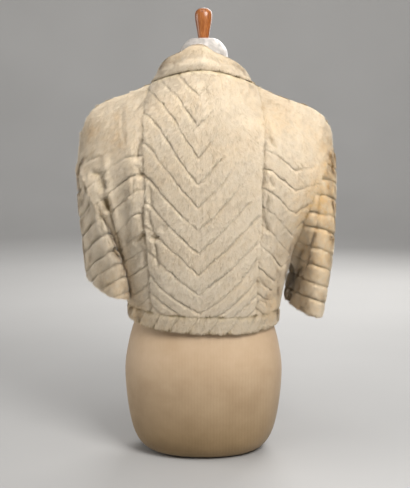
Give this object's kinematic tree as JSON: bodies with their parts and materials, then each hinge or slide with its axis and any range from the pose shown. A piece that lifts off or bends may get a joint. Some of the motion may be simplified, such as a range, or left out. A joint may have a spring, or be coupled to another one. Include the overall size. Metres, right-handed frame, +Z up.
{
  "type": "fur bolero on a dress form",
  "caption": "Short cream sheared-fur bolero with chevron grooves, a stand collar and open cuffs, shown on a limbless padded dress form with a turned wooden neck knob.",
  "frame": {"origin": "on the ground under the middle of the dress form's flat underside", "axes": "+Z up through the neck knob, -Y out of the garment's back, +X to the right when its back is looked at"},
  "size_m": [0.5079, 0.2912, 0.853],
  "materials": {
    "fur": "sheared fur pile",
    "jersey": "matte stretched jersey",
    "neck_cover": "smooth white cotton",
    "knob_wood": "varnished"
  },
  "bodies": {
    "root": {"back_centre": "fur", "back_side_left": "fur", "back_side_right": "fur", "front_left": "fur", "front_right": "fur", "sleeve_left": "fur", "sleeve_right": "fur", "collar": "fur", "hem_band": "fur", "form_torso": "jersey", "form_neck": "neck_cover", "form_knob": "knob_wood"}
  },
  "joints": []
}
